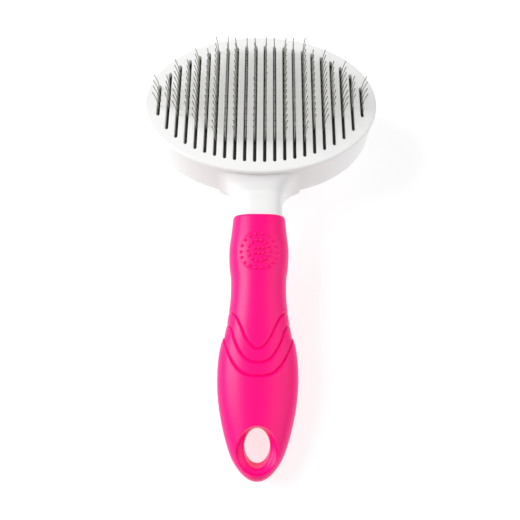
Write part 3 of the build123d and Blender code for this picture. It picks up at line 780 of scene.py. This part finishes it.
# centre y of each groove, its rise to the sides, and the breadth and sharpness of its valley
GROOVES = (
    (-50.2, 17.2, 0.375, 1.75),
    (-55.6, 17.7, 0.465, 2.3),
    (-60.9, 18.7, 0.59, 2.6),
)
GROOVE_DEPTH = 0.75
GROOVE_LINES = (1.0, 0.72, 0.5, 0.32, 0.16, 0.0, -0.16, -0.32, -0.5, -0.72, -1.0)
GROOVE_HALF = 0.9
GROOVE_SHARPNESS = 0.42
GIRTH_RADIUS = 13.0  # of the grip where the grooves run
MOST_STRETCH = 2.6
SMOOTH_ABOVE_Y = -28.0
SMOOTH_BELOW_Y = -68.0


def groove_y(groove, angle):
    """y of a groove: a rounded valley at the front and back, level at the sides."""
    centre, rise, breadth, sharpness = groove
    quarter = math.asin(min(abs(math.sin(angle)), 1.0)) / (math.pi / 2)
    return centre + rise * (1 - math.exp(-((quarter / breadth) ** sharpness)))


def groove_stretch(groove, angle):
    """How much longer the groove's width is along y than across the groove."""
    step = 0.01
    climb = groove_y(groove, angle + step) - groove_y(groove, angle - step)
    return min(math.hypot(1, climb / (2 * step * GIRTH_RADIUS)), MOST_STRETCH)


def groove_depth(share):
    """Depth at a share of the groove's half width: a rounded V."""
    return GROOVE_DEPTH * math.exp(-((share / GROOVE_SHARPNESS) ** 2))


def even(start, end, count):
    """Values that divide the way from start to end, without either."""
    return [start + (end - start) * (k + 1) / (count + 1) for k in range(count)]


def column_stations(angle):
    """Every y and depth down the grip at one angle. Lines of the mesh follow the grooves."""
    top = GRIP_TOP_Y + GRIP_TOP_RISE * math.sin(angle) ** 2
    stations = []
    for turn in (90, 67, 45, 22, 0):
        lift = math.sin(math.radians(turn))
        draw_in = 1 - math.cos(math.radians(turn))
        stations.append((top - RIM_ROUND * (1 - lift), RIM_ROUND * draw_in))
    stations += [(y, 0.0) for y in even(stations[-1][0], SMOOTH_ABOVE_Y, 62)]
    last = SMOOTH_ABOVE_Y
    for groove in GROOVES:
        middle = groove_y(groove, angle)
        reach = GROOVE_HALF * groove_stretch(groove, angle)
        stations += [(y, 0.0) for y in even(last, middle + reach, 9)]
        stations += [(middle + reach * line, groove_depth(line)) for line in GROOVE_LINES]
        last = middle - reach
    stations += [(y, 0.0) for y in even(last, SMOOTH_BELOW_Y, 12)]
    reach_low = math.sqrt(SMOOTH_BELOW_Y - GRIP_TIP_Y)
    stations += [(GRIP_TIP_Y + root * root, 0.0) for root in even(reach_low, 0.0, 60)]
    return stations


PAD_Y = -8.8
PAD_RADIUS = 9.2
PAD_DISH = 0.22
PAD_STEP = 0.12  # share of the radius
SOLID_BELOW_Y = -76.0  # the core's pocket ends here


def pad_depth(point):
    """The thumb pad is dished a little, with a soft step at its edge."""
    away = math.hypot(point.x, point.y - PAD_Y) / PAD_RADIUS
    share = min(max((1 - away) / PAD_STEP, 0.0), 1.0)
    return PAD_DISH * share * share * (3 - 2 * share)


def grip_body():
    """The sleeve: its grooved skin outside, and the pocket for the handle's core inside."""
    angles = [2 * math.pi * k / GRIP_SIDES for k in range(GRIP_SIDES)]
    columns = [column_stations(angle) for angle in angles]
    rings = []
    for line in range(len(columns[0])):
        ring = []
        for angle, column in zip(angles, columns):
            y, inset = column[line]
            point = grip_point(y, angle, inset)
            if point.z > 20 and y > -22:
                point = grip_point(y, angle, inset + pad_depth(point))
            ring.append(point * MM)
        rings.append(ring)
    inner = []
    for k in range(29):
        share = k / 28
        ring = []
        for angle, column in zip(angles, columns):
            y = column[0][0] + share * (SOLID_BELOW_Y - column[0][0])
            ring.append(grip_point(y, angle, GRIP_WALL) * MM)
        inner.append(ring)
    middle = grip_point(SOLID_BELOW_Y, 0, 0) + grip_point(SOLID_BELOW_Y, math.pi, 0)
    tip = Vector((0, GRIP_TIP_Y, 9.0)) * MM
    return ring_mesh("grip_sleeve_rubber", inner[::-1] + rings, middle / 2 * MM, tip)


HOLE_Y = -86.2
HOLE_LEAN = 1.15
HOLE_HALF = Vector((5.2, 7.5))
MOUTH_FLARE = Vector((3.1, 1.6))
MOUTH_SHIFT = 1.7
HOLE_SIDES = 120
# share of the way from the throat out to the rim, and depth under the grip's skin
MOUTH_PROFILE = (
    (1.25, -4.0),
    (1.10, -0.5),
    (1.03, -0.02),
    (1.00, 0.14),
    (0.96, 0.45),
    (0.89, 1.0),
    (0.76, 1.7),
    (0.56, 2.4),
    (0.34, 3.0),
    (0.15, 3.7),
    (0.04, 4.5),
    (0.0, 5.4),
)


def skin_height(x, y, side):
    """Height of the grip's skin over x, y: the front for side 1 and the back for -1."""
    half_x = eased(GRIP_STATIONS, 1, y)
    front = eased(GRIP_STATIONS, 2, y)
    back = eased(GRIP_STATIONS, 3, y)
    across = min(abs(x) / half_x, 1.0) ** GRIP_ROUNDNESS
    return (front + back) / 2 + side * (front - back) / 2 * (1 - across) ** (1 / GRIP_ROUNDNESS)


def hole_ring(share, depth, side):
    """Ring of the hang hole's wall, at a depth under the skin on one side of the grip."""
    ring = []
    for k in range(HOLE_SIDES):
        angle = 2 * math.pi * k / HOLE_SIDES
        x = (HOLE_HALF.x + MOUTH_FLARE.x * share) * math.cos(angle)
        middle_y = HOLE_Y - HOLE_LEAN * side - MOUTH_SHIFT * share
        y = (HOLE_HALF.y + MOUTH_FLARE.y * share) * math.sin(angle) + middle_y
        ring.append(Vector((x, y, skin_height(x, y, side) - side * depth)) * MM)
    return ring


def hole_cutter():
    """Oval spool for the hang hole, its mouths dished under the skin on both sides."""
    rings = [hole_ring(share, depth, 1) for share, depth in MOUTH_PROFILE]
    rings += [hole_ring(share, depth, -1) for share, depth in reversed(MOUTH_PROFILE)]
    top = Vector((0, HOLE_Y, skin_height(0, HOLE_Y, 1) + 6)) * MM
    bottom = Vector((0, HOLE_Y, skin_height(0, HOLE_Y, -1) - 6)) * MM
    return ring_mesh("hole_cutter", rings, top, bottom)


# number of dots and radius of each ring, and the grid in the middle
DOT_RINGS = ((18, 7.65), (14, 4.65))
DOT_GRID = (1.8, 2.3)
DOT_RADIUS = 0.74
DOT_HEIGHT = 0.72


def dots_tree():
    """Geometry tree that drops rings of dots on the skin below and adds them to it."""
    tree = bpy.data.node_groups.new("thumb dots", "GeometryNodeTree")
    sockets = (
        ("Geometry", "NodeSocketGeometry"),
        ("Centre", "NodeSocketVector"),
        ("Outer Radius", "NodeSocketFloat"),
        ("Inner Radius", "NodeSocketFloat"),
        ("Dot Radius", "NodeSocketFloat"),
        ("Dot Height", "NodeSocketFloat"),
        ("Material", "NodeSocketMaterial"),
    )
    for name, kind in sockets:
        tree.interface.new_socket(name, in_out="INPUT", socket_type=kind)
    tree.interface.new_socket("Geometry", in_out="OUTPUT", socket_type="NodeSocketGeometry")
    given = add_node(tree, "NodeGroupInput").outputs
    outer_inputs = {"Vertices": DOT_RINGS[0][0], "Radius": given["Outer Radius"]}
    outer = add_node(tree, "GeometryNodeMeshCircle", outer_inputs)
    inner_inputs = {"Vertices": DOT_RINGS[1][0], "Radius": given["Inner Radius"]}
    inner = add_node(tree, "GeometryNodeMeshCircle", inner_inputs)
    grid_inputs = {
        "Size X": 2 * DOT_GRID[0] * MM,
        "Size Y": DOT_GRID[1] * MM,
        "Vertices X": 3,
        "Vertices Y": 2,
    }
    grid = add_node(tree, "GeometryNodeMeshGrid", grid_inputs)
    marks = add_node(tree, "GeometryNodeJoinGeometry")
    for part in (grid, inner, outer):
        tree.links.new(part.outputs["Mesh"], marks.inputs[0])
    raised_inputs = {"Geometry": marks.outputs[0], "Translation": given["Centre"]}
    raised = add_node(tree, "GeometryNodeTransform", raised_inputs)
    place = add_node(tree, "GeometryNodeInputPosition").outputs[0]
    ray_inputs = {
        "Target Geometry": given["Geometry"],
        "Source Position": place,
        "Ray Direction": (0.0, 0.0, -1.0),
        "Ray Length": 0.05,
    }
    ray = add_node(tree, "GeometryNodeRaycast", ray_inputs)
    marked = add_node(tree, "GeometryNodeCaptureAttribute", {"Geometry": raised.outputs[0]})
    marked.capture_items.new("VECTOR", "Skin Normal")
    tree.links.new(ray.outputs["Hit Normal"], marked.inputs["Skin Normal"])
    landed_inputs = {
        "Geometry": marked.outputs["Geometry"],
        "Position": ray.outputs["Hit Position"],
    }
    landed = add_node(tree, "GeometryNodeSetPosition", landed_inputs)
    facing_inputs = {"Vector": marked.outputs["Skin Normal"]}
    facing = add_node(tree, "FunctionNodeAlignRotationToVector", facing_inputs, axis="Z")
    ball = add_node(tree, "GeometryNodeMeshUVSphere", {"Segments": 20, "Rings": 12, "Radius": 1.0})
    size_inputs = {"X": given["Dot Radius"], "Y": given["Dot Radius"], "Z": given["Dot Height"]}
    size = add_node(tree, "ShaderNodeCombineXYZ", size_inputs)
    stand_inputs = {
        "Points": landed.outputs[0],
        "Instance": ball.outputs["Mesh"],
        "Rotation": facing.outputs[0],
        "Scale": size.outputs[0],
    }
    stand = add_node(tree, "GeometryNodeInstanceOnPoints", stand_inputs)
    dots = add_node(tree, "GeometryNodeRealizeInstances", {0: stand.outputs[0]})
    whole = add_node(tree, "GeometryNodeJoinGeometry")
    tree.links.new(dots.outputs[0], whole.inputs[0])
    tree.links.new(given["Geometry"], whole.inputs[0])
    dressed_inputs = {"Geometry": whole.outputs[0], "Material": given["Material"]}
    dressed = add_node(tree, "GeometryNodeSetMaterial", dressed_inputs)
    add_node(tree, "NodeGroupOutput", {"Geometry": dressed.outputs[0]})
    return tree


pink_rubber = moulded_material(
    "pink_rubber", (0.98, 0.0, 0.2), 0.03, 0.34, 0.05, 0.22, 0.01, Specular_IOR_Level=0.25
)
sleeve = combined(grip_body(), hole_cutter())
dot_values = {
    "Centre": Vector((0, PAD_Y, 45.0)) * MM,
    "Outer Radius": DOT_RINGS[0][1] * MM,
    "Inner Radius": DOT_RINGS[1][1] * MM,
    "Dot Radius": DOT_RADIUS * MM,
    "Dot Height": DOT_HEIGHT * MM,
    "Material": pink_rubber,
}
sleeve_mesh = sleeve.data
bpy.data.objects.remove(sleeve)
grip = smoothed(grown("grip_sleeve_rubber", sleeve_mesh, dots_tree(), dot_values), 34)
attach(grip, "brush")
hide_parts("grip_sleeve")
